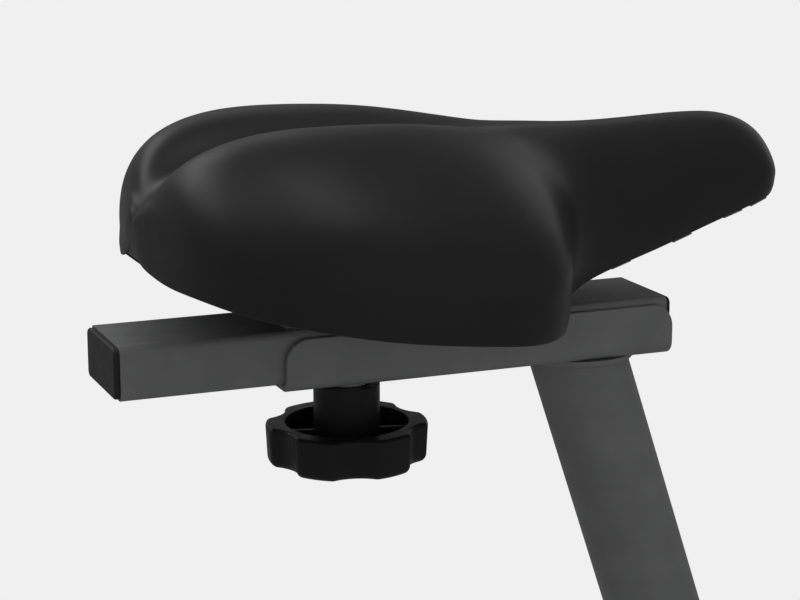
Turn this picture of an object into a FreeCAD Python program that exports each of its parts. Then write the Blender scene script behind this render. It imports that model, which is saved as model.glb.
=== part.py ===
import FreeCAD, Part
import math
import os

# Exercise bike seat assembly: a padded saddle on a slide tube, a folded bracket with its
# clamp knob, and the round post that plugs into the bike's frame.
# Units are mm. The parts are drawn from the rear lower edge of the slide tube, X forward,
# Y to the rider's left and Z up. save() then moves each one to the row frame, whose origin
# is the centre of the post's lower end.

# Slide tube and its end caps
tube_length = 218.6
tube_width = 40.0
tube_height = 20.0
tube_wall = 1.5
tube_corner = 2.6
cap_flange = 2.2
cap_inset = 0.7
cap_rounding = 1.0
cap_plug_depth = 14.0
cap_plug_gap = 0.2
cap_plug_wall = 2.0

# Fore and aft travel of the slide tube in its bracket
slide_back = 20.0
slide_forward = 50.0

# Folded bracket
bracket_rear = 61.0
bracket_front = 220.0
bracket_thickness = 2.5
bracket_side_gap = 0.5
bracket_floor_gap = 0.1
bracket_side_height = 17.6
bracket_bend = 5.0
bracket_corner = 9.0
bracket_edge_rounding = 0.6

# Blocks and cylinders that are cut back to size start longer by spare, and past everything
# by far
spare = 60.0
far = 1000.0
# A cutting shape passes the face that it cuts by over
over = 5.0
# Edges are picked by their place to within near
near = 0.01

# Seat post, leaning back towards the top
post_radius = 19.05
post_wall = 2.0
post_length = 380.0
post_lean = math.radians(18.6)
post_top_x = 189.3
post_weld_size = 3.3
groove_from = 100.0
groove_width = 1.2
groove_depth = 0.25
plug_flange = 2.0
plug_flange_inset = 0.6
plug_rounding = 0.8
plug_depth = 18.0

# Clamp: threaded plate inside the tube, stud, washer and knob
knob_x = 92.7
stud_radius = 5.0
stud_top = 13.0
stud_chamfer = 1.0
stud_embed = 22.0
thread_gap = 0.05
stud_hole_gap = 0.5
slot_margin = 1.5
clamp_plate_length = 34.0
clamp_plate_thickness = 6.0
clamp_plate_gap = 0.3
clamp_plate_corner = 2.0
clamp_plate_chamfer = 1.2
washer_radius = 10.5
washer_thickness = 2.0
lock_washer_radius = 9.2
lock_washer_thickness = 1.8
lock_washer_split = 1.0
face_gap = 0.1
hub_radius = 12.65
ring_outer = 31.0
ring_outer_low = 30.2
ring_inner = 23.7
ring_top = -21.7
ring_bottom = -37.4
web_thickness = 3.4
knob_lobes = 6
flute_radius = 14.0
flute_depth = 3.5
flute_first_angle = 16.0
lobe_rounding = 3.4
ring_top_rounding = 1.6
ring_bottom_rounding = 3.2
rib_thickness = 2.0
rib_drop = 3.0
insert_radius = 10.0
insert_depth = 2.5
insert_proud = 0.6
insert_rounding = 0.5

# Saddle mounting: a folded hat section welded on the tube, bolts up into the saddle's base
hat_rear = 66.0
hat_front = 156.0
hat_half_width = 38.0
hat_crown_half_width = 17.5
hat_rise = 10.0
hat_thickness = 2.5
hat_corner = 8.0
hat_fold_rounding = 1.1
hat_weld_size = 2.5
bolt_rows = (80.0, 142.0)
bolt_side = 30.0
bolt_radius = 3.0
bolt_head_flats = 10.0
bolt_head_height = 4.0
bolt_length = 12.0
bolt_dome_radius = 11.0
bolt_dome_low = 0.95
bolt_hole_gap = 0.3
bolt_washer_radius = 6.5
bolt_washer_thickness = 1.2
boss_radius = 7.5
boss_insert_radius = 4.6
boss_insert_length = 11.0
fit_gap = 0.05

# Saddle shells
cover_thickness = 1.5
layer_gap = 0.2
base_thickness = 3.5
hem_fraction = 0.76
arch_fraction = 0.52
hem_drop = 12.0
base_rib_thickness = 2.5
base_rib_drop = 4.0
layer_reach = 15.0
staple_length = 9.0
staple_wire = 0.7

# Saddle cross-sections, one row for each station along X:
# x, groove height, crest side and height, shoulder side and height, widest side and height,
# rim side and height, rise of the moulded base's arch above the rim
saddle_stations = (
    (14.5, 68.2, 9.0, 70.0, 24.5, 68.3, 33.5, 57.0, 31.0, 43.3, 0.5),
    (17.0, 70.8, 12.0, 75.0, 34.0, 71.5, 43.5, 57.0, 41.0, 42.6, 1.2),
    (20.5, 73.8, 14.5, 80.0, 42.5, 73.5, 52.5, 57.0, 50.0, 41.8, 2.0),
    (31.0, 78.0, 17.5, 87.3, 54.0, 78.3, 69.5, 56.0, 66.5, 39.0, 6.0),
    (51.0, 83.8, 20.0, 93.2, 62.0, 82.7, 84.0, 53.0, 81.0, 35.0, 10.0),
    (80.0, 87.0, 21.0, 95.0, 63.5, 84.0, 92.0, 48.0, 89.0, 30.0, 15.0),
    (112.0, 88.0, 18.0, 93.6, 60.0, 82.5, 93.0, 43.5, 90.0, 26.0, 18.0),
    (130.0, 88.1, 15.5, 91.6, 54.0, 82.0, 90.5, 43.5, 87.5, 24.2, 19.5),
    (143.0, 88.3, 13.5, 90.2, 46.5, 80.5, 83.5, 46.0, 80.0, 24.0, 19.5),
    (152.0, 88.6, 12.3, 89.3, 38.0, 79.8, 71.5, 48.5, 67.5, 25.0, 17.5),
    (160.0, 88.6, 11.5, 88.8, 31.0, 79.4, 55.5, 50.0, 51.0, 26.2, 15.0),
    (170.0, 88.5, 10.5, 88.3, 25.5, 79.1, 40.0, 51.5, 35.5, 28.2, 12.0),
    (185.0, 88.0, 9.0, 87.5, 21.0, 79.2, 31.5, 56.0, 26.5, 32.0, 8.5),
    (210.0, 88.3, 8.0, 87.7, 18.0, 80.0, 27.0, 62.0, 22.0, 38.5, 6.0),
    (242.0, 89.3, 7.0, 88.6, 16.0, 82.0, 23.0, 68.0, 18.0, 48.0, 4.0),
    (258.0, 86.5, 6.5, 85.8, 14.5, 80.0, 20.5, 68.0, 16.0, 52.5, 3.0),
    (267.5, 79.8, 5.5, 79.0, 12.0, 74.5, 16.5, 65.5, 13.0, 55.3, 1.0),
    (273.5, 69.0, 3.5, 68.5, 6.5, 66.5, 8.5, 62.5, 7.0, 58.0, 0.3),
)
rear_slope_end = 40.0
front_slope_start = 120.0

bracket_inner = tube_width / 2 + bracket_side_gap
bracket_outer = bracket_inner + bracket_thickness
bracket_under = -bracket_floor_gap - bracket_thickness
washer_low = bracket_under - face_gap - washer_thickness
hub_top = washer_low - lock_washer_thickness - face_gap
hat_top = tube_height + hat_rise
hat_under = hat_top - hat_thickness
post_end = FreeCAD.Vector(
    post_top_x + post_length * math.sin(post_lean),
    0.0,
    bracket_under - post_length * math.cos(post_lean),
)
post_up = FreeCAD.Vector(-math.sin(post_lean), 0.0, math.cos(post_lean))
up = FreeCAD.Vector(0, 0, 1)


def point(x, y, z):
    return FreeCAD.Vector(x, y, z)


def box(x0, x1, y0, y1, z0, z1):
    return Part.makeBox(x1 - x0, y1 - y0, z1 - z0, point(x0, y0, z0))


def cylinder(x, y, z0, z1, radius):
    return Part.makeCylinder(radius, z1 - z0, point(x, y, z0), up)


def rounded_bar(x0, x1, width, z0, z1, radius):
    """A bar along X with its four long edges rounded."""
    bar = box(x0, x1, -width / 2, width / 2, z0, z1)
    long_edges = [edge for edge in bar.Edges if abs(edge.tangentAt(0).x) > 0.9]
    return bar.makeFillet(radius, long_edges)


def save(name, shape):
    moved = shape.copy()
    moved.translate(post_end * -1.0)
    if not moved.isValid():
        raise ValueError(name + " is not a valid solid")
    moved.exportStep("parts/" + name + ".step")
    print(name, len(moved.Solids), round(moved.Volume))


# ---- seat post and bracket ----

def post_cylinder(radius, start, length):
    """A cylinder on the post's axis, with start measured up from the post's lower end."""
    return Part.makeCylinder(radius, length, post_end + post_up * start, post_up)


def below_bracket():
    return box(-far, far, -far, far, -far, bracket_under)


def seat_post():
    """The tube, with a shallow ring groove that marks its least depth in the frame's sleeve."""
    reach = post_length + spare
    outside = post_cylinder(post_radius, 0.0, reach)
    inside = post_cylinder(post_radius - post_wall, -over, reach + 2 * over)
    groove = post_cylinder(post_radius + over, groove_from, groove_width)
    groove = groove.cut(post_cylinder(post_radius - groove_depth, 0.0, reach))
    return outside.cut(inside).cut(groove).common(below_bracket())


def post_end_plug():
    inner = post_radius - post_wall - fit_gap
    flange = post_cylinder(post_radius - plug_flange_inset, -plug_flange, plug_flange)
    low = [
        edge
        for edge in flange.Edges
        if (edge.CenterOfMass - post_end).dot(post_up) < near - plug_flange
    ]
    flange = flange.makeFillet(plug_rounding, low)
    stem = post_cylinder(inner, 0.0, plug_depth)
    hollow = post_cylinder(inner - plug_flange, plug_flange, plug_depth)
    return flange.fuse(stem.cut(hollow)).removeSplitter()


def post_weld_bead():
    """A round bead swept along the ellipse where the post meets the bracket."""
    ellipse = Part.Ellipse(
        point(post_top_x + post_radius / math.cos(post_lean), 0, bracket_under),
        point(post_top_x, post_radius, bracket_under),
        point(post_top_x, 0, bracket_under),
    )
    path = Part.Wire([ellipse.toShape()])
    start = ellipse.value(0)
    ring = Part.Circle(start, ellipse.tangent(0)[0], post_weld_size)
    bead = path.makePipeShell([Part.Wire([ring.toShape()])], True, True)
    solid_post = post_cylinder(post_radius, 0.0, post_length + spare)
    return bead.common(below_bracket()).cut(solid_post)


def bracket_channel():
    outside = rounded_bar(
        bracket_rear, bracket_front, 2 * bracket_outer, bracket_under, spare, bracket_bend
    )
    inside = rounded_bar(
        bracket_rear - over,
        bracket_front + over,
        2 * bracket_inner,
        -bracket_floor_gap,
        2 * spare,
        bracket_bend - bracket_thickness,
    )
    channel = outside.cut(inside)
    side = box(bracket_rear, bracket_front, -spare, spare, -spare, bracket_side_height)
    top_edges = [
        edge
        for edge in side.Edges
        if abs(edge.tangentAt(0).y) > 0.9 and edge.CenterOfMass.z > bracket_side_height - near
    ]
    channel = channel.common(side.makeFillet(bracket_corner, top_edges))
    side_faces = (bracket_inner, bracket_outer)
    cut_edges = [
        edge
        for edge in channel.Edges
        if edge.BoundBox.YLength < near
        and any(abs(abs(edge.CenterOfMass.y) - face) < near for face in side_faces)
        and not (edge.BoundBox.ZMax < bracket_bend and edge.BoundBox.XLength > bracket_front / 2)
    ]
    channel = channel.makeFillet(bracket_edge_rounding, cut_edges)
    hole = cylinder(knob_x, 0, bracket_under - over, over, stud_radius + stud_hole_gap)
    return channel.cut(hole)


def clamp_plate():
    half = tube_width / 2 - tube_wall - clamp_plate_gap
    low = tube_wall + clamp_plate_gap
    plate = box(
        knob_x - clamp_plate_length / 2,
        knob_x + clamp_plate_length / 2,
        -half,
        half,
        low,
        low + clamp_plate_thickness,
    )
    upright = [edge for edge in plate.Edges if abs(edge.tangentAt(0).z) > 0.9]
    plate = plate.makeChamfer(clamp_plate_corner, upright)
    long_low = [
        edge
        for edge in plate.Edges
        if abs(edge.tangentAt(0).x) > 0.9 and edge.CenterOfMass.z < low + near
    ]
    plate = plate.makeChamfer(clamp_plate_chamfer, long_low)
    return plate.cut(cylinder(knob_x, 0, 0, tube_height, stud_radius + thread_gap))


# ---- slide tube ----

def slide_tube():
    outside = rounded_bar(0, tube_length, tube_width, 0, tube_height, tube_corner)
    inside = rounded_bar(
        -over,
        tube_length + over,
        tube_width - 2 * tube_wall,
        tube_wall,
        tube_height - tube_wall,
        tube_corner - tube_wall,
    )
    half_slot = stud_radius + stud_hole_gap
    rear = knob_x - slide_forward - slot_margin
    front = knob_x + slide_back + slot_margin
    slot = box(rear, front, -half_slot, half_slot, -over, over)
    slot = slot.fuse(cylinder(rear, 0, -over, over, half_slot))
    slot = slot.fuse(cylinder(front, 0, -over, over, half_slot))
    return outside.cut(inside).cut(slot)


def end_cap(face_x, outward):
    """A cap on the tube's end at face_x; outward is +1 at the front and -1 at the rear."""
    x0, x1 = sorted((face_x, face_x + outward * cap_flange))
    flange = rounded_bar(
        x0, x1, tube_width - 2 * cap_inset, cap_inset, tube_height - cap_inset, tube_corner
    )
    outer_x = face_x + outward * cap_flange
    rim = [edge for edge in flange.Edges if abs(edge.CenterOfMass.x - outer_x) < near]
    flange = flange.makeFillet(cap_rounding, rim)
    inset = tube_wall + cap_plug_gap
    x2, x3 = sorted((face_x, face_x - outward * cap_plug_depth))
    stem = rounded_bar(
        x2, x3, tube_width - 2 * inset, inset, tube_height - inset, tube_corner - tube_wall
    )
    inner = inset + cap_plug_wall
    hollow = box(x2, x3, inner - tube_width / 2, tube_width / 2 - inner, inner, tube_height - inner)
    return flange.fuse(stem.cut(hollow)).removeSplitter()


# ---- clamp knob ----

def knob_washer():
    disc = cylinder(knob_x, 0, washer_low, bracket_under - face_gap, washer_radius)
    return disc.cut(cylinder(knob_x, 0, -far, 0, stud_radius + thread_gap))


def lock_washer():
    """A spring washer, split across its front."""
    low = washer_low - lock_washer_thickness
    ring = cylinder(knob_x, 0, low, washer_low, lock_washer_radius)
    ring = ring.cut(cylinder(knob_x, 0, -far, 0, stud_radius + thread_gap))
    half = lock_washer_split / 2
    return ring.cut(box(knob_x, far, -half, half, -far, 0))


def arc_about(centre, radius, first, last, z):
    """An arc at height z about a centre in the knob's plane; the angles are in radians."""
    spots = []
    for angle in (first, (first + last) / 2, last):
        x = knob_x + centre[0] + radius * math.cos(angle)
        spots.append(point(x, centre[1] + radius * math.sin(angle), z))
    return Part.Arc(*spots).toShape()


def knob_outline(radius, z):
    """The knob's outline at height z: shallow flutes, joined to the lobes by small arcs."""
    step = 2 * math.pi / knob_lobes
    away = radius - flute_depth + flute_radius
    inside = radius - lobe_rounding
    reach = flute_radius + lobe_rounding
    half = math.acos((away**2 + inside**2 - reach**2) / (2 * away * inside))
    lean = math.asin(inside * math.sin(half) / reach)
    edges = []
    for flute in range(knob_lobes):
        middle = math.radians(flute_first_angle) + flute * step
        hollow = (away * math.cos(middle), away * math.sin(middle))
        back = middle + math.pi
        before, after = middle - half, middle + half
        lobe_before = (inside * math.cos(before), inside * math.sin(before))
        lobe_after = (inside * math.cos(after), inside * math.sin(after))
        edges.append(arc_about(lobe_before, lobe_rounding, before, middle + lean, z))
        edges.append(arc_about(hollow, flute_radius, back + lean, back - lean, z))
        edges.append(arc_about(lobe_after, lobe_rounding, middle - lean, after, z))
        edges.append(arc_about((0, 0), radius, after, middle + step - half, z))
    return Part.Wire(edges)


def fluted_disc():
    """The knob's outside: a slightly tapered disc with finger flutes and rounded edges."""
    outlines = [knob_outline(ring_outer_low, ring_bottom), knob_outline(ring_outer, ring_top)]
    disc = Part.makeLoft(outlines, True, True)
    top_edges = [edge for edge in disc.Edges if edge.BoundBox.ZMin > ring_top - near]
    disc = disc.makeFillet(ring_top_rounding, top_edges)
    bottom_edges = [edge for edge in disc.Edges if edge.BoundBox.ZMax < ring_bottom + near]
    return disc.makeFillet(ring_bottom_rounding, bottom_edges)


def knob_body():
    web_top = ring_bottom + web_thickness
    body = fluted_disc().cut(cylinder(knob_x, 0, web_top, far, ring_inner))
    for rib in range(knob_lobes):
        bar = box(
            knob_x + hub_radius - 1,
            knob_x + ring_inner + 1,
            -rib_thickness / 2,
            rib_thickness / 2,
            web_top - 1,
            ring_top - rib_drop,
        )
        angle = flute_first_angle + 360.0 * (rib + 0.5) / knob_lobes
        bar.rotate(point(knob_x, 0, 0), up, angle)
        body = body.fuse(bar)
    body = body.fuse(cylinder(knob_x, 0, web_top - 1, hub_top, hub_radius))
    body = body.cut(cylinder(knob_x, 0, -far, ring_bottom + insert_depth, insert_radius))
    stud_low = hub_top - stud_embed
    body = body.cut(cylinder(knob_x, 0, stud_low, far, stud_radius + fit_gap))
    return body.removeSplitter()


def knob_stud():
    stud = cylinder(knob_x, 0, hub_top - stud_embed, stud_top, stud_radius)
    tip = [edge for edge in stud.Edges if edge.BoundBox.ZMin > stud_top - near]
    return stud.makeChamfer(stud_chamfer, tip)


def knob_insert():
    low = ring_bottom - insert_proud
    high = ring_bottom + insert_depth - fit_gap
    disc = cylinder(knob_x, 0, low, high, insert_radius - fit_gap)
    low_edges = [edge for edge in disc.Edges if edge.BoundBox.ZMax < low + near]
    return disc.makeFillet(insert_rounding, low_edges)


# ---- saddle mounting ----

def bolt_places():
    return [(x, side * bolt_side) for x in bolt_rows for side in (-1, 1)]


def group(shapes):
    return Part.makeCompound(shapes)


def saddle_bracket():
    """A hat section: its crown lies on the tube and its two flanges carry the bolts."""
    web = hat_crown_half_width
    profile = [
        (-hat_half_width, hat_under),
        (-web, hat_under),
        (-web, tube_height),
        (web, tube_height),
        (web, hat_under),
        (hat_half_width, hat_under),
        (hat_half_width, hat_top),
        (web - hat_thickness, hat_top),
        (web - hat_thickness, tube_height + hat_thickness),
        (hat_thickness - web, tube_height + hat_thickness),
        (hat_thickness - web, hat_top),
        (-hat_half_width, hat_top),
        (-hat_half_width, hat_under),
    ]
    outline = Part.makePolygon([point(hat_rear, y, z) for y, z in profile])
    hat = Part.Face(outline).extrude(point(hat_front - hat_rear, 0, 0))
    folds = [
        edge
        for edge in hat.Edges
        if abs(edge.tangentAt(0).x) > 0.9 and abs(edge.CenterOfMass.y) < hat_half_width - 1
    ]
    hat = hat.makeFillet(hat_fold_rounding, folds)
    corners = [
        edge
        for edge in hat.Edges
        if abs(edge.tangentAt(0).z) > 0.9 and abs(edge.CenterOfMass.y) > hat_half_width - 1
    ]
    hat = hat.makeFillet(hat_corner, corners)
    for x, y in bolt_places():
        hat = hat.cut(cylinder(x, y, hat_under - over, hat_top + over, bolt_radius + bolt_hole_gap))
    return hat


def bracket_weld_bead(x):
    """A bead across the tube's top face along one end of the hat section's crown."""
    half = hat_crown_half_width - hat_weld_size
    bead = Part.makeCylinder(
        hat_weld_size, 2 * half, point(x, -half, tube_height), point(0, 1, 0)
    )
    outside = box(hat_rear, hat_front, -far, far, -far, far)
    above = box(-far, far, -far, far, tube_height, far)
    return bead.cut(outside).common(above)


def hexagon(x, y, z0, z1, flats):
    corner = flats / math.sqrt(3.0)
    corners = [
        point(x + corner * math.cos(math.radians(a)), y + corner * math.sin(math.radians(a)), z0)
        for a in range(0, 420, 60)
    ]
    return Part.Face(Part.makePolygon(corners)).extrude(point(0, 0, z1 - z0))


def saddle_bolt(x, y):
    seat = hat_under - bolt_washer_thickness
    head = hexagon(x, y, seat - bolt_head_height, seat, bolt_head_flats)
    dome_middle = seat - bolt_head_height + bolt_dome_low * bolt_dome_radius
    dome = Part.makeSphere(bolt_dome_radius, point(x, y, dome_middle))
    shank = cylinder(x, y, seat, seat + bolt_length, bolt_radius)
    return head.common(dome).fuse(shank).removeSplitter()


def saddle_washer(x, y):
    low = hat_under - bolt_washer_thickness
    ring = cylinder(x, y, low, hat_under, bolt_washer_radius)
    return ring.cut(cylinder(x, y, low - over, hat_under + over, bolt_radius + fit_gap))


def base_insert(x, y):
    top = hat_top + boss_insert_length
    sleeve = cylinder(x, y, hat_top, top, boss_insert_radius)
    return sleeve.cut(cylinder(x, y, hat_top - over, top + over, bolt_radius + fit_gap))


# ---- saddle ----

def shifted_x(x, amount):
    """Moves a station inward along X where the saddle's outside slopes along its length."""
    if x < rear_slope_end:
        return x + amount
    if x > front_slope_start:
        return x - amount
    return x


def closed_section(station, inset, under):
    """A closed cross-section, drawn inside the saddle's own by the distance inset.

    A smooth curve goes over the saddle from rim to rim, and straight runs through the points
    of under close it below.
    """
    x, groove, crest_y, crest, shoulder_y, shoulder, side_y, side, rim_y, rim, _ = station
    x = shifted_x(x, inset)
    half = [
        (crest_y, crest - inset),
        (shoulder_y - 0.7 * inset, shoulder - 0.7 * inset),
        (side_y - inset, side),
        (rim_y - inset, rim + inset),
    ]
    left = [point(x, y, z) for y, z in reversed(half)]
    right = [point(x, -y, z) for y, z in half]
    over = Part.BSplineCurve()
    over.interpolate(left + [point(x, 0, groove - inset)] + right)
    corners = [right[-1]] + [point(x, y, z) for y, z in under] + [left[0]]
    runs = [Part.makeLine(first, second) for first, second in zip(corners, corners[1:])]
    return Part.Wire([over.toShape()] + runs)


def mirrored(half):
    """A run of points from the right-hand side across to the left-hand side."""
    return [(-y, z) for y, z in half] + [(y, z) for y, z in reversed(half)]


def saddle_volume(inset):
    """The saddle's whole outside, or the space inside it at the distance inset."""
    sections = [closed_section(station, inset, []) for station in saddle_stations]
    return Part.makeLoft(sections, True, False)


def saddle_cavity():
    """Everything inside the cover, opened downwards between its two hems."""
    sections = []
    for station in saddle_stations:
        hem_y = hem_fraction * station[8]
        rim = station[9]
        under = mirrored([(hem_y, rim + cover_thickness), (hem_y, rim - hem_drop)])
        sections.append(closed_section(station, cover_thickness, under))
    return Part.makeLoft(sections, True, False)


def base_layer(low, high):
    """A wide layer that follows the base's arch, from low to high above the arch's underside."""
    sections = []
    last = len(saddle_stations) - 1
    for index, station in enumerate(saddle_stations):
        rim_y, rise = station[8], station[10]
        x = station[0] + {0: -layer_reach, last: layer_reach}.get(index, 0.0)
        rim = station[9] + cover_thickness + layer_gap
        line = mirrored(
            [
                (station[6] + layer_reach, rim),
                (hem_fraction * rim_y, rim),
                (arch_fraction * rim_y, rim + rise),
            ]
        )
        under = [point(x, y, z + low) for y, z in line]
        over = [point(x, y, z + high) for y, z in reversed(line)]
        sections.append(Part.makePolygon(under + over + under[:1]))
    return Part.makeLoft(sections, True, False)


def saddle_foam():
    whole = saddle_volume(cover_thickness + layer_gap)
    return whole.cut(base_layer(-spare, base_thickness + layer_gap))


def lowest_solid(shape):
    return min(shape.Solids, key=lambda solid: solid.BoundBox.ZMin)


def base_ribs():
    """Ribs that join the four bosses, as blocks taller than they end up."""
    low = hat_top + base_rib_drop
    high = hat_top + spare
    half = base_rib_thickness / 2
    ribs = [box(x - half, x + half, -bolt_side, bolt_side, low, high) for x in bolt_rows]
    for y in (-bolt_side, bolt_side):
        ribs.append(box(bolt_rows[0], bolt_rows[1], y - half, y + half, low, high))
    return ribs


def saddle_base():
    layer = base_layer(0.0, base_thickness)
    base = layer.common(saddle_volume(cover_thickness + layer_gap))
    bosses = [cylinder(x, y, hat_top, hat_top + spare, boss_radius) for x, y in bolt_places()]
    for block in bosses + base_ribs():
        base = base.fuse(lowest_solid(block.cut(layer)))
    for x, y in bolt_places():
        depth = hat_top + boss_insert_length + fit_gap
        base = base.cut(cylinder(x, y, hat_top - over, depth, boss_insert_radius + fit_gap))
    return base.removeSplitter()


def underside_height(outside, x, y):
    """The height at which an upright line enters the saddle from below."""
    line = Part.makeLine(point(x, y, -far), point(x, y, far))
    return outside.common(line).BoundBox.ZMin


def cover_staples():
    """Staple crowns pressed into the hem, two rows that follow the rim."""
    outside = saddle_volume(0.0)
    staples = []
    middle = (1.0 + hem_fraction) / 2.0
    for first, second in zip(saddle_stations[3:-2], saddle_stations[4:-1]):
        for side in (-1, 1):
            ends = []
            for share in (0.35, 0.65):
                x = first[0] + share * (second[0] - first[0])
                y = side * middle * (first[8] + share * (second[8] - first[8]))
                ends.append(point(x, y, underside_height(outside, x, y) - staple_wire))
            along = (ends[1] - ends[0]).normalize()
            centre = (ends[0] + ends[1]) * 0.5
            start = centre - along * (staple_length / 2)
            staples.append(Part.makeCylinder(staple_wire / 2, staple_length, start, along))
    return group(staples)


def main():
    os.makedirs("parts", exist_ok=True)
    save("seat_post", seat_post())
    save("post_end_plug", post_end_plug())
    save("post_weld_bead", post_weld_bead())
    save("bracket_channel", bracket_channel())
    save("clamp_plate", clamp_plate())
    save("slide_tube", slide_tube())
    save("rear_end_cap", end_cap(0.0, -1))
    save("front_end_cap", end_cap(tube_length, 1))
    save("knob_washer", knob_washer())
    save("lock_washer", lock_washer())
    save("knob_body", knob_body())
    save("knob_stud", knob_stud())
    save("knob_insert", knob_insert())
    save("saddle_bracket", saddle_bracket())
    save("bracket_weld_beads", group([bracket_weld_bead(x) for x in (hat_rear, hat_front)]))
    save("saddle_bolts", group([saddle_bolt(x, y) for x, y in bolt_places()]))
    save("saddle_washers", group([saddle_washer(x, y) for x, y in bolt_places()]))
    save("base_inserts", group([base_insert(x, y) for x, y in bolt_places()]))
    save("saddle_cover", saddle_volume(0.0).cut(saddle_cavity()))
    save("saddle_foam", saddle_foam())
    save("saddle_base", saddle_base())
    save("cover_staples", cover_staples())


main()
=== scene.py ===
import math

import bmesh
import bpy
import numpy as np
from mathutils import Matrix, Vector


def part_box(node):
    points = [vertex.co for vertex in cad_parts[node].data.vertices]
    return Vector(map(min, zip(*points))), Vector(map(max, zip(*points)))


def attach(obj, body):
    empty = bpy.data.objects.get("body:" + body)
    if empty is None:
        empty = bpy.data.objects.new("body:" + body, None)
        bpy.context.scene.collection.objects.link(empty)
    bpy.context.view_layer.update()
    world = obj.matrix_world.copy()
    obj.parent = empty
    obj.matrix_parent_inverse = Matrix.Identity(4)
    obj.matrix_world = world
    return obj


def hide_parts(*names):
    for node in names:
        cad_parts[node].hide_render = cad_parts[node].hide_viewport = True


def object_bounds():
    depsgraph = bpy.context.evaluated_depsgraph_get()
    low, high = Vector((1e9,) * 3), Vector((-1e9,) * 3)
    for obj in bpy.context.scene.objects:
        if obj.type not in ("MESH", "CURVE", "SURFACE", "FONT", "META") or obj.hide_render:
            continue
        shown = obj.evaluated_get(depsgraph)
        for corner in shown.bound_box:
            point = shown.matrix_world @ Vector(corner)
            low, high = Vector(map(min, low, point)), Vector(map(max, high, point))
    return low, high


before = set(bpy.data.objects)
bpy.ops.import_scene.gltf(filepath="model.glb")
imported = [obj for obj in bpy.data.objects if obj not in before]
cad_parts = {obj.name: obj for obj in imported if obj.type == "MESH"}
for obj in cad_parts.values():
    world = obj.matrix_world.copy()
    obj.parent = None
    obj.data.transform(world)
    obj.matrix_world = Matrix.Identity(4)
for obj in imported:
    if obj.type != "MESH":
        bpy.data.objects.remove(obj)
cad_low, cad_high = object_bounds()

# Distances along the saddle are in mm from the rear lower edge of the slide tube, as in the
# CAD: X forward, Y to the rider's left, Z up from the tube's underside. place() turns them
# into the row frame's metres.
tube_low, tube_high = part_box("slide_tube")
tube_origin = np.array([tube_low.x, 0.0, tube_low.z])

# Saddle cross-sections, the CAD's rows without its last, because the nose is closed here with
# rounded rings: x, groove height, crest side and height, shoulder side and height, widest side
# and height, rim side and height, arch rise
saddle_stations = (
    (14.5, 68.2, 9.0, 70.0, 24.5, 68.3, 33.5, 57.0, 31.0, 43.3, 0.5),
    (17.0, 70.8, 12.0, 75.0, 34.0, 71.5, 43.5, 57.0, 41.0, 42.6, 1.2),
    (20.5, 73.8, 14.5, 80.0, 42.5, 73.5, 52.5, 57.0, 50.0, 41.8, 2.0),
    (31.0, 78.0, 17.5, 87.3, 54.0, 78.3, 69.5, 56.0, 66.5, 39.0, 6.0),
    (51.0, 83.8, 20.0, 93.2, 62.0, 82.7, 84.0, 53.0, 81.0, 35.0, 10.0),
    (80.0, 87.0, 21.0, 95.0, 63.5, 84.0, 92.0, 48.0, 89.0, 30.0, 15.0),
    (112.0, 88.0, 18.0, 93.6, 60.0, 82.5, 93.0, 43.5, 90.0, 26.0, 18.0),
    (130.0, 88.1, 15.5, 91.6, 54.0, 82.0, 90.5, 43.5, 87.5, 24.2, 19.5),
    (143.0, 88.3, 13.5, 90.2, 46.5, 80.5, 83.5, 46.0, 80.0, 24.0, 19.5),
    (152.0, 88.6, 12.3, 89.3, 38.0, 79.8, 71.5, 48.5, 67.5, 25.0, 17.5),
    (160.0, 88.6, 11.5, 88.8, 31.0, 79.4, 55.5, 50.0, 51.0, 26.2, 15.0),
    (170.0, 88.5, 10.5, 88.3, 25.5, 79.1, 40.0, 51.5, 35.5, 28.2, 12.0),
    (185.0, 88.0, 9.0, 87.5, 21.0, 79.2, 31.5, 56.0, 26.5, 32.0, 8.5),
    (210.0, 88.3, 8.0, 87.7, 18.0, 80.0, 27.0, 62.0, 22.0, 38.5, 6.0),
    (242.0, 89.3, 7.0, 88.6, 16.0, 82.0, 23.0, 68.0, 18.0, 48.0, 4.0),
    (258.0, 86.5, 6.5, 85.8, 14.5, 80.0, 20.5, 68.0, 16.0, 52.5, 3.0),
    (267.5, 79.8, 5.5, 79.0, 12.0, 74.5, 16.5, 65.5, 13.0, 55.3, 1.0),
)
cover_thickness = 1.5
layer_gap = 0.2
base_thickness = 3.5
hem_fraction = 0.76
arch_fraction = 0.52
rim_turns = (-45.0, -90.0, -135.0, -180.0)
inner_rises = (2.4, 4.0)
samples_between = (10, 12, 10, 8)
section_spacing = 2.6

# Each end's rings: how much of the section is left, then for each end the height it closes to,
# its depth, and how bluntly it closes above and below that height
end_shares = (0.85, 0.6, 0.3, 0.03)
rear_end = (57.5, 4.0, 0.75, 0.3)
nose_end = (61.5, 7.6, 1.0, 0.8)
end_wall_points = 4
end_wall_start = 0.5
end_wall_rings = 2.0

# The cover under stretch, in metres, and how far from its rim and its ends it is held
slack = 0.0008
stretch_limit = 0.0013
settle_frames = 20
held_points = 2
easing_points = 4.0
shortest_move = 1e-9

# The cover's edge, folded under the base
rim_samples = 400
hem_spacing = 1.6
hem_setback = 1.0
hem_rear_reach = 12.0
hem_nose_reach = 9.0
hem_shares = (0.0, 0.08, 0.3, 0.55, 0.8, 0.97, 1.0)
hem_rounding = (0.5, 0.12, 0.0, 0.0, 0.0, 0.12, 0.5)
pleat_height = 0.55
pleat_pitch = 4.6
pleat_rise = 3
pleat_unevenness = (0.6, 1.4)
turn_reach = 5
turn_smoothing = 9
full_pleat_turn = 0.25


def place(points):
    """CAD-style millimetres to the row frame's metres."""
    return tube_origin + np.asarray(points, float) / 1000.0


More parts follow.
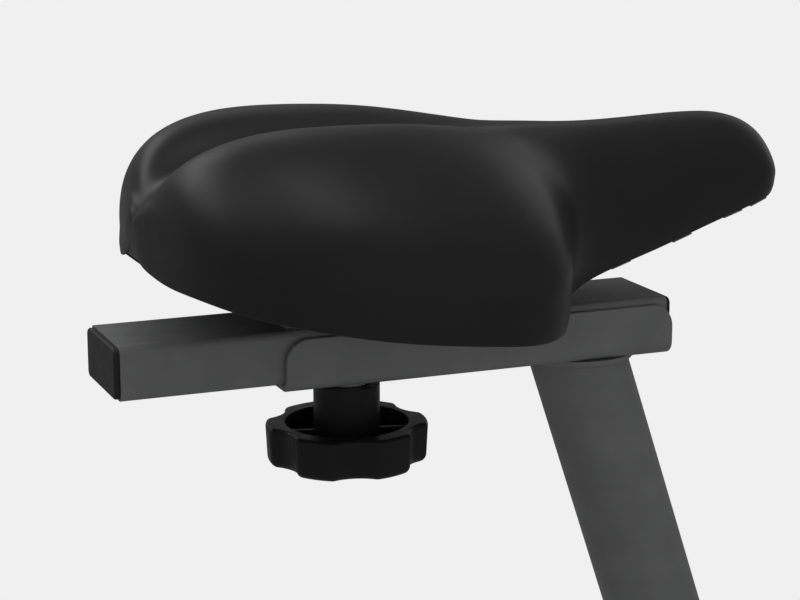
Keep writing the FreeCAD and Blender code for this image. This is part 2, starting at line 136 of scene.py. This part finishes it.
def new_object(name, vertices, faces, smooth=True):
    mesh = bpy.data.meshes.new(name)
    mesh.from_pydata([tuple(v) for v in vertices], [], [tuple(f) for f in faces])
    mesh.validate()
    if smooth:
        mesh.polygons.foreach_set("use_smooth", [True] * len(mesh.polygons))
    piece = bpy.data.objects.new(name, mesh)
    bpy.context.scene.collection.objects.link(piece)
    return piece


# ---- curves ----

def natural_spline(knots, values, at):
    """A natural cubic spline through values at knots; values may have any trailing shape."""
    knots = np.asarray(knots, float)
    values = np.asarray(values, float)
    flat = values.reshape(len(knots), -1)
    gaps = np.diff(knots)
    count = len(knots)
    matrix = np.zeros((count, count))
    right = np.zeros_like(flat)
    matrix[0, 0] = matrix[-1, -1] = 1.0
    slopes = np.diff(flat, axis=0) / gaps[:, None]
    for i in range(1, count - 1):
        matrix[i, i - 1] = gaps[i - 1]
        matrix[i, i] = 2 * (gaps[i - 1] + gaps[i])
        matrix[i, i + 1] = gaps[i]
        right[i] = 6 * (slopes[i] - slopes[i - 1])
    bends = np.linalg.solve(matrix, right)
    at = np.asarray(at, float)
    span = np.clip(np.searchsorted(knots, at, side="right") - 1, 0, count - 2)
    gap = gaps[span][:, None]
    before = (at - knots[span])[:, None]
    after = gap - before
    curve = (
        bends[span] * after**3 / (6 * gap)
        + bends[span + 1] * before**3 / (6 * gap)
        + (flat[span] / gap - bends[span] * gap / 6) * after
        + (flat[span + 1] / gap - bends[span + 1] * gap / 6) * before
    )
    return curve.reshape((len(at),) + values.shape[1:])


def section_curve(station):
    """The saddle's outside at one station, right rim to left rim, as (y, z) rows."""
    groove, crest_y, crest, shoulder_y, shoulder, side_y, side, rim_y, rim = station[1:10]
    half = [
        (rim_y, rim + cover_thickness / 2),
        (side_y, side),
        (shoulder_y, shoulder),
        (crest_y, crest),
    ]
    controls = [(-y, z) for y, z in half] + [(0.0, groove)] + [(y, z) for y, z in reversed(half)]
    controls = np.array(controls)
    steps = np.linalg.norm(np.diff(controls, axis=0), axis=1)
    knots = np.concatenate([[0.0], np.cumsum(steps)])
    counts = samples_between + samples_between[::-1]
    at = [0.0]
    for start, end, count in zip(knots, knots[1:], counts):
        at += list(np.linspace(start, end, count + 1)[1:])
    return natural_spline(knots, controls, at)


def under_curve(station):
    """The inside of the cover's edge and the foam's underside, left rim to right rim."""
    rim_y, rim, rise = station[8], station[9], station[10]
    half_wall = cover_thickness / 2
    top = rim + cover_thickness + 2 * layer_gap + base_thickness
    half = []
    for turn in rim_turns:
        angle = math.radians(turn)
        y = rim_y - half_wall + half_wall * math.cos(angle)
        half.append((y, rim + half_wall + half_wall * math.sin(angle)))
    inner = rim_y - cover_thickness
    half += [(inner, rim + step) for step in inner_rises] + [(inner, top)]
    hem_y = hem_fraction * rim_y
    arch_y = arch_fraction * rim_y
    half += [((inner + hem_y) / 2, top), (hem_y, top)]
    half += [((hem_y + arch_y) / 2, top + rise / 2), (arch_y, top + rise)]
    half.append((arch_y / 2, top + rise))
    return half + [(0.0, top + rise)] + [(-y, z) for y, z in reversed(half)]


def station_ring(station):
    """One closed ring of the saddle's skin: over the top, round the rim and back below."""
    loop = np.array(list(section_curve(station)) + under_curve(station))
    return np.column_stack([np.full(len(loop), station[0]), loop])


def closing_rings(ring, middle, depth, blunt_above, blunt_below, way):
    """Rings that draw one end of the saddle in to its middle, over a depth along X."""
    rings = []
    above = ring[:, 2] > middle
    for share in end_shares:
        height = np.where(above, share**blunt_above, share**blunt_below)
        moved = ring * (1.0, share, 1.0)
        moved[:, 0] += way * depth * (1 - share**2)
        moved[:, 2] = middle + (ring[:, 2] - middle) * height
        rings.append(moved)
    return rings


def saddle_rings():
    """Closed rings of points from the rear to the nose, close together where it turns fast."""
    rings = [station_ring(station) for station in saddle_stations]
    rear = closing_rings(rings[0], *rear_end, -1)
    nose = closing_rings(rings[-1], *nose_end, +1)
    rings = np.array(rear[::-1] + rings + nose)
    steps = np.linalg.norm(np.diff(rings, axis=0), axis=2).mean(axis=1)
    path = np.concatenate([[0.0], np.cumsum(steps)])
    count = int(path[-1] / section_spacing)
    made = natural_spline(path, rings, np.linspace(0.0, path[-1], count + 1))
    close_end(made, path[len(rear)] * count / path[-1], +1)
    close_end(made, path[len(path) - 1 - len(nose)] * count / path[-1], -1)
    return made


def close_end(rings, first, step):
    """Brings the foam's underside down to the rim near an end, which makes the end wall."""
    top = len(section_curve(saddle_stations[0]))
    under = slice(top + end_wall_points, rings.shape[1] - end_wall_points)
    for index in range(len(rings)):
        inside = (index - first) * step
        share = min(max((inside - end_wall_start) / end_wall_rings, 0.0), 1.0)
        below = rings[index, under, 2]
        rim = rings[index, under.start, 2]
        rings[index, under, 2] = rim + (below - rim) * share


def saddle_shape():
    """The skin's points and faces, and how many points each ring has."""
    rings = saddle_rings()
    count, size = rings.shape[:2]
    faces = []
    for r in range(count - 1):
        for i in range(size):
            j = (i + 1) % size
            faces.append((r * size + i, r * size + j, (r + 1) * size + j, (r + 1) * size + i))
    faces.append(tuple(range(size)))
    faces.append(tuple(reversed(range((count - 1) * size, count * size))))
    return rings.reshape(-1, 3), faces, size


def stretched(piece, size):
    """Settles the cover over its foam: a cloth held at the rim, pushed out from inside."""
    top = len(section_curve(saddle_stations[0]))
    count = len(piece.data.vertices)
    index = np.arange(count) % size
    inset = np.minimum(index, top - 1 - index)
    free = np.clip((inset - held_points) / easing_points, 0.0, 1.0)
    ring = np.arange(count) // size
    from_end = np.minimum(ring, ring.max() - ring)
    free *= np.clip((from_end - held_points) / easing_points, 0.0, 1.0)
    full = np.zeros(count * 3)
    piece.data.vertices.foreach_get("co", full)
    full = full.reshape(-1, 3)
    normals = np.array([vertex.normal for vertex in piece.data.vertices])
    start = full - normals * (slack * free)[:, None]
    piece.data.vertices.foreach_set("co", start.ravel())
    held = piece.vertex_groups.new(name="held")
    for number, share in enumerate(1 - free):
        held.add([number], float(share), "REPLACE")
    cloth = piece.modifiers.new("cover", "CLOTH")
    cloth.settings.quality = 6
    cloth.settings.tension_stiffness = 25.0
    cloth.settings.compression_stiffness = 25.0
    cloth.settings.shear_stiffness = 8.0
    cloth.settings.bending_stiffness = 0.6
    cloth.settings.use_pressure = True
    cloth.settings.uniform_pressure_force = 4.0
    cloth.settings.vertex_group_mass = "held"
    cloth.settings.effector_weights.gravity = 0.0
    cloth.point_cache.frame_start = 1
    cloth.point_cache.frame_end = settle_frames
    for number in range(1, settle_frames + 1):
        bpy.context.scene.frame_set(number)
    settled = piece.evaluated_get(bpy.context.evaluated_depsgraph_get())
    moved = np.array([vertex.co[:] for vertex in settled.data.vertices]) - start
    length = np.linalg.norm(moved, axis=1)
    share = np.minimum(length, stretch_limit) / np.maximum(length, shortest_move)
    piece.modifiers.remove(cloth)
    piece.data.vertices.foreach_set("co", (start + moved * share[:, None]).ravel())
    piece.data.update()
    bpy.context.scene.frame_set(1)


def hem_outline():
    """The rim seen from above, once round, in even steps, as (x, y, z) rows."""
    table = np.array(saddle_stations)
    along = np.linspace(table[0, 0] + hem_setback, table[-1, 0] - hem_setback, rim_samples)
    side = natural_spline(table[:, 0], table[:, 8], along) - hem_setback
    height = natural_spline(table[:, 0], table[:, 9], along)
    left = np.column_stack([along, side, height])
    loop = np.concatenate([left, left[::-1] * (1, -1, 1), left[:1]])
    path = np.concatenate([[0.0], np.cumsum(np.linalg.norm(np.diff(loop, axis=0), axis=1))])
    at = np.linspace(0.0, path[-1], int(path[-1] / hem_spacing), endpoint=False)
    return np.column_stack([np.interp(at, path, loop[:, axis]) for axis in range(3)])


def pleats(outline):
    """How high the folds stand along the rim: only where the outline turns outwards."""
    ahead = np.roll(outline, -turn_reach, axis=0) - outline
    behind = outline - np.roll(outline, turn_reach, axis=0)
    turn = behind[:, 0] * ahead[:, 1] - behind[:, 1] * ahead[:, 0]
    turn = -turn / (np.linalg.norm(ahead[:, :2], axis=1) * np.linalg.norm(behind[:, :2], axis=1))
    window = np.ones(turn_smoothing) / turn_smoothing
    turn = np.convolve(np.tile(turn, 3), window, "same")[len(turn):2 * len(turn)]
    uneven = np.cumsum(np.random.default_rng(5).uniform(*pleat_unevenness, len(outline)))
    wave = 0.5 + 0.5 * np.cos(uneven * hem_spacing / pleat_pitch * 2 * math.pi)
    return np.clip(turn / full_pleat_turn, 0.0, 1.0) * wave


def hem_shape():
    """The cover's edge, folded in under the base all the way round."""
    outline = hem_outline()
    fold = pleats(outline)
    table = np.array(saddle_stations)
    first = table[0, 0] + hem_rear_reach
    last = table[-1, 0] - hem_nose_reach
    inner_x = np.clip(outline[:, 0], first, last)
    inner_z = natural_spline(table[:, 0], table[:, 9], inner_x)
    inner = np.column_stack([inner_x, outline[:, 1] * hem_fraction, inner_z])
    rows = []
    for share, ease in zip(hem_shares, hem_rounding):
        row = outline * (1 - share) + inner * share
        folded = pleat_height * fold * min(share * pleat_rise, 1.0)
        row[:, 2] += cover_thickness * ease - folded
        rows.append(row)
    for share, ease in zip(hem_shares[::-1], hem_rounding[::-1]):
        row = outline * (1 - share) + inner * share
        row[:, 2] += cover_thickness * (1 - ease)
        rows.append(row)
    rings = np.array(rows).transpose(1, 0, 2)
    count, size = rings.shape[:2]
    faces = []
    for r in range(count):
        for i in range(size):
            j = (i + 1) % size
            s = (r + 1) % count
            faces.append((r * size + i, r * size + j, s * size + j, s * size + i))
    return rings.reshape(-1, 3), faces


def face_outwards(piece):
    bm = bmesh.new()
    bm.from_mesh(piece.data)
    bmesh.ops.recalc_face_normals(bm, faces=bm.faces)
    bm.to_mesh(piece.data)
    bm.free()


saddle_vertices, saddle_faces, ring_size = saddle_shape()
skin = new_object("saddle_skin", place(saddle_vertices), saddle_faces)
face_outwards(skin)
stretched(skin, ring_size)
sub = skin.modifiers.new("round", "SUBSURF")
sub.levels = 1
sub.render_levels = 1
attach(skin, "saddle_slide")
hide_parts("saddle_cover", "saddle_foam")

hem_vertices, hem_faces = hem_shape()
hem = new_object("saddle_hem", place(hem_vertices), hem_faces)
face_outwards(hem)
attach(hem, "saddle_slide")

# ---- materials ----

def node(tree, kind, **settings):
    made = tree.nodes.new(kind)
    for key, value in settings.items():
        setattr(made, key, value)
    return made


def noise(tree, scale, detail=2.0, rough=0.5):
    place_in = node(tree, "ShaderNodeTexCoord")
    made = node(tree, "ShaderNodeTexNoise")
    made.inputs["Scale"].default_value = scale
    made.inputs["Detail"].default_value = detail
    made.inputs["Roughness"].default_value = rough
    tree.links.new(place_in.outputs["Object"], made.inputs["Vector"])
    return made.outputs["Fac"]


def remap(tree, value, from_low, from_high, to_low, to_high):
    made = node(tree, "ShaderNodeMapRange")
    made.inputs["From Min"].default_value = from_low
    made.inputs["From Max"].default_value = from_high
    made.inputs["To Min"].default_value = to_low
    made.inputs["To Max"].default_value = to_high
    tree.links.new(value, made.inputs["Value"])
    return made.outputs["Result"]


def edge_mask(tree, radius):
    """1 on edges, 0 on flats: how far a bevelled normal leans from the true one."""
    bevel = node(tree, "ShaderNodeBevel", samples=4)
    bevel.inputs["Radius"].default_value = radius
    geometry = node(tree, "ShaderNodeNewGeometry")
    dot = node(tree, "ShaderNodeVectorMath", operation="DOT_PRODUCT")
    tree.links.new(bevel.outputs["Normal"], dot.inputs[0])
    tree.links.new(geometry.outputs["Normal"], dot.inputs[1])
    return remap(tree, dot.outputs["Value"], 1.0, 0.75, 0.0, 1.0)


def mix_colour(tree, share, first, second):
    made = node(tree, "ShaderNodeMix", data_type="RGBA")
    tree.links.new(share, made.inputs["Factor"])
    for socket, colour in ((made.inputs[6], first), (made.inputs[7], second)):
        if isinstance(colour, tuple):
            socket.default_value = (*colour, 1.0)
        else:
            tree.links.new(colour, socket)
    return made.outputs[2]


def surface(
    name, colour, spot_colour, edge_colour, roughness, spread, bump_scale, bump_height,
    bevel=0.0006, metallic=0.0, specular=0.5, coat=0.0, coat_roughness=0.2, mottle_scale=60.0,
    wear=0.5,
):
    """A general procedural finish: mottled colour, edge wear, uneven roughness, fine bump."""
    material = bpy.data.materials.new(name)
    material.use_nodes = True
    tree = material.node_tree
    shader = tree.nodes["Principled BSDF"]
    mottle = remap(tree, noise(tree, mottle_scale, 4.0), 0.35, 0.65, 0.0, 1.0)
    base = mix_colour(tree, mottle, colour, spot_colour)
    edge = edge_mask(tree, bevel * 1.8)
    broken = remap(tree, noise(tree, 420.0, 3.0), 0.4, 0.62, 0.0, wear)
    worn = node(tree, "ShaderNodeMath", operation="MULTIPLY")
    tree.links.new(edge, worn.inputs[0])
    tree.links.new(broken, worn.inputs[1])
    base = mix_colour(tree, worn.outputs[0], base, edge_colour)
    tree.links.new(base, shader.inputs["Base Color"])
    uneven = noise(tree, mottle_scale * 2.5, 3.0)
    rough = remap(tree, uneven, 0.3, 0.7, roughness - spread, roughness + spread)
    tree.links.new(rough, shader.inputs["Roughness"])
    shader.inputs["Metallic"].default_value = metallic
    shader.inputs["Specular IOR Level"].default_value = specular
    shader.inputs["Coat Weight"].default_value = coat
    shader.inputs["Coat Roughness"].default_value = coat_roughness
    rounded = node(tree, "ShaderNodeBevel", samples=4)
    rounded.inputs["Radius"].default_value = bevel
    bump = node(tree, "ShaderNodeBump")
    bump.inputs["Distance"].default_value = bump_height
    bump.inputs["Strength"].default_value = 1.0
    tree.links.new(noise(tree, bump_scale, 2.0), bump.inputs["Height"])
    tree.links.new(rounded.outputs["Normal"], bump.inputs["Normal"])
    tree.links.new(bump.outputs["Normal"], shader.inputs["Normal"])
    return material


powder = surface(
    "powder_coat", (0.168, 0.170, 0.173), (0.190, 0.192, 0.195), (0.29, 0.29, 0.29),
    0.46, 0.05, 1500.0, 0.00006, specular=0.33,
)
cap = surface(
    "cap_plastic", (0.016, 0.016, 0.017), (0.020, 0.020, 0.021), (0.05, 0.05, 0.05),
    0.5, 0.05, 1800.0, 0.00004, specular=0.33,
)
knob_black = surface(
    "knob_plastic", (0.007, 0.007, 0.0075), (0.009, 0.009, 0.0095), (0.022, 0.022, 0.022),
    0.4, 0.06, 900.0, 0.00003, specular=0.33,
)
steel = surface(
    "zinc_steel", (0.55, 0.56, 0.58), (0.48, 0.49, 0.51), (0.7, 0.7, 0.7),
    0.28, 0.08, 1200.0, 0.00001, metallic=1.0,
)
dark_steel = surface(
    "black_oxide", (0.09, 0.09, 0.10), (0.07, 0.07, 0.075), (0.35, 0.35, 0.35),
    0.4, 0.08, 900.0, 0.00002, metallic=1.0,
)
brass = surface(
    "insert_brass", (0.60, 0.46, 0.22), (0.52, 0.39, 0.18), (0.75, 0.6, 0.35),
    0.35, 0.08, 900.0, 0.00002, metallic=1.0,
)
base_black = surface(
    "base_plastic", (0.014, 0.014, 0.015), (0.018, 0.018, 0.019), (0.04, 0.04, 0.04),
    0.5, 0.06, 700.0, 0.00008,
)
vinyl = surface(
    "saddle_vinyl", (0.014, 0.014, 0.0145), (0.017, 0.017, 0.0176), (0.022, 0.022, 0.022),
    0.40, 0.02, 1400.0, 0.000012, bevel=0.0004, specular=0.33, wear=0.1, mottle_scale=25.0,
)
skin.data.materials.append(vinyl)
hem.data.materials.append(vinyl)

finishes = {
    "seat_post": powder,
    "post_end_plug": cap,
    "post_weld_bead": powder,
    "bracket_channel": powder,
    "clamp_plate": steel,
    "slide_tube": powder,
    "rear_end_cap": cap,
    "front_end_cap": cap,
    "knob_washer": steel,
    "lock_washer": steel,
    "knob_body": knob_black,
    "knob_stud": steel,
    "knob_insert": knob_black,
    "saddle_bracket": powder,
    "bracket_weld_beads": powder,
    "saddle_bolts": dark_steel,
    "saddle_washers": steel,
    "base_inserts": brass,
    "saddle_base": base_black,
    "cover_staples": steel,
}
for name, finish in finishes.items():
    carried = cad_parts.get(name)
    if carried is None:
        continue
    for index in range(max(len(carried.material_slots), 1)):
        if len(carried.material_slots) == 0:
            carried.data.materials.append(finish)
        else:
            carried.material_slots[index].material = finish

# ---- floor, backdrop, light and camera ----

dome_radius = 22.0
floor_half = 6.0
floor_gap = 0.02


def plain(name, colour, strength):
    """A surface of one even colour, seen from its front only."""
    material = bpy.data.materials.new(name)
    material.use_nodes = True
    tree = material.node_tree
    tree.nodes.clear()
    glow = node(tree, "ShaderNodeEmission")
    glow.inputs["Color"].default_value = (*colour, 1.0)
    glow.inputs["Strength"].default_value = strength
    clear = node(tree, "ShaderNodeBsdfTransparent")
    geometry = node(tree, "ShaderNodeNewGeometry")
    mixed = node(tree, "ShaderNodeMixShader")
    out = node(tree, "ShaderNodeOutputMaterial")
    tree.links.new(geometry.outputs["Backfacing"], mixed.inputs[0])
    tree.links.new(glow.outputs[0], mixed.inputs[1])
    tree.links.new(clear.outputs[0], mixed.inputs[2])
    tree.links.new(mixed.outputs[0], out.inputs["Surface"])
    return material


def backdrop():
    bm = bmesh.new()
    bmesh.ops.create_icosphere(bm, subdivisions=4, radius=dome_radius)
    bmesh.ops.reverse_faces(bm, faces=bm.faces)
    mesh = bpy.data.meshes.new("backdrop")
    bm.to_mesh(mesh)
    bm.free()
    dome = bpy.data.objects.new("backdrop", mesh)
    bpy.context.scene.collection.objects.link(dome)
    set_apart(dome)


def floor():
    level = cad_low.z - floor_gap
    signs = ((-1, -1), (1, -1), (1, 1), (-1, 1))
    corners = [(x * floor_half, y * floor_half, level) for x, y in signs]
    set_apart(new_object("floor", corners, [(0, 1, 2, 3)]))


def set_apart(piece):
    """Floor and backdrop are only for the camera: the lamps and the world light the object."""
    piece.data.materials.append(pale)
    piece.visible_diffuse = False
    piece.visible_glossy = False
    piece.visible_transmission = False
    piece.visible_shadow = False


def area_light(name, direction, distance, size, power, target, shines):
    data = bpy.data.lights.new(name, "AREA")
    data.shape = "RECTANGLE"
    data.size, data.size_y = size
    data.energy = power
    lamp = bpy.data.objects.new(name, data)
    bpy.context.scene.collection.objects.link(lamp)
    along = Vector(direction).normalized()
    lamp.location = Vector(target) + along * distance
    lamp.rotation_euler = along.to_track_quat("Z", "Y").to_euler()
    lamp.visible_camera = False
    lamp.visible_glossy = shines


pale = plain("pale_paper", (0.872, 0.872, 0.872), 1.0)
backdrop()
floor()
world = bpy.data.worlds.new("studio")
bpy.context.scene.world = world
world.use_nodes = True
world.node_tree.nodes["Background"].inputs["Color"].default_value = (1.0, 1.0, 1.0, 1.0)
world.node_tree.nodes["Background"].inputs["Strength"].default_value = 0.2
# The lamps point at the middle of the slide tube and saddle
middle = (cad_low + cad_high) / 2
middle.z = cad_high.z - 0.05
# A plain studio set: full lamps above and behind, half lamps at the side and in front, and
# quarter lamps to lift the far side and the underside.
light_distance = 1.6
full = 1.5
half = full / 2
quarter = full / 4
lights = (
    # name, azimuth, elevation, width, height, radiance, shows in reflections
    ("overhead", 0.0, 85.0, 0.8, 0.8, full, True),
    ("side_upper", -120.0, 35.0, 0.9, 0.6, full, True),
    ("rear_upper", -150.0, 35.0, 0.9, 0.6, full, True),
    ("side_top", -90.0, 60.0, 0.8, 0.6, half, True),
    ("front_left", -40.0, 5.0, 0.9, 0.7, half, False),
    ("front_middle", 0.0, 5.0, 0.9, 0.7, half, False),
    ("front_right", 40.0, 5.0, 0.9, 0.7, half, False),
    ("far_upper", 180.0, 35.0, 0.9, 0.7, quarter, True),
    ("nose_side", 120.0, 20.0, 0.9, 1.1, quarter, True),
    ("floor_bounce", 0.0, -30.0, 0.9, 0.7, quarter, False),
)
for name, az, el, width, height, radiance, shines in lights:
    az = math.radians(az)
    el = math.radians(el)
    direction = (math.sin(az) * math.cos(el), -math.cos(az) * math.cos(el), math.sin(el))
    power = radiance * math.pi * width * height
    area_light(name, direction, light_distance, (width, height), power, middle, shines)

# The camera's place is in the same millimetres as the saddle's cross-sections
camera_place = (-184.04, -732.57, 205.59)
camera_azimuth = -22.177
camera_elevation = 12.976
camera_data = bpy.data.cameras.new("camera")
camera_data.sensor_width = 36.0
camera_data.lens = 96.27
camera_data.clip_end = 100.0
camera = bpy.data.objects.new("camera", camera_data)
bpy.context.scene.collection.objects.link(camera)
bpy.context.scene.camera = camera
azimuth = math.radians(camera_azimuth)
elevation = math.radians(camera_elevation)
back = Vector((
    math.sin(azimuth) * math.cos(elevation),
    -math.cos(azimuth) * math.cos(elevation),
    math.sin(elevation),
))
camera.location = Vector(place(camera_place))
camera.rotation_mode = "QUATERNION"
camera.rotation_quaternion = (-back).to_track_quat("-Z", "Y")
bpy.context.scene.view_settings.view_transform = "Standard"
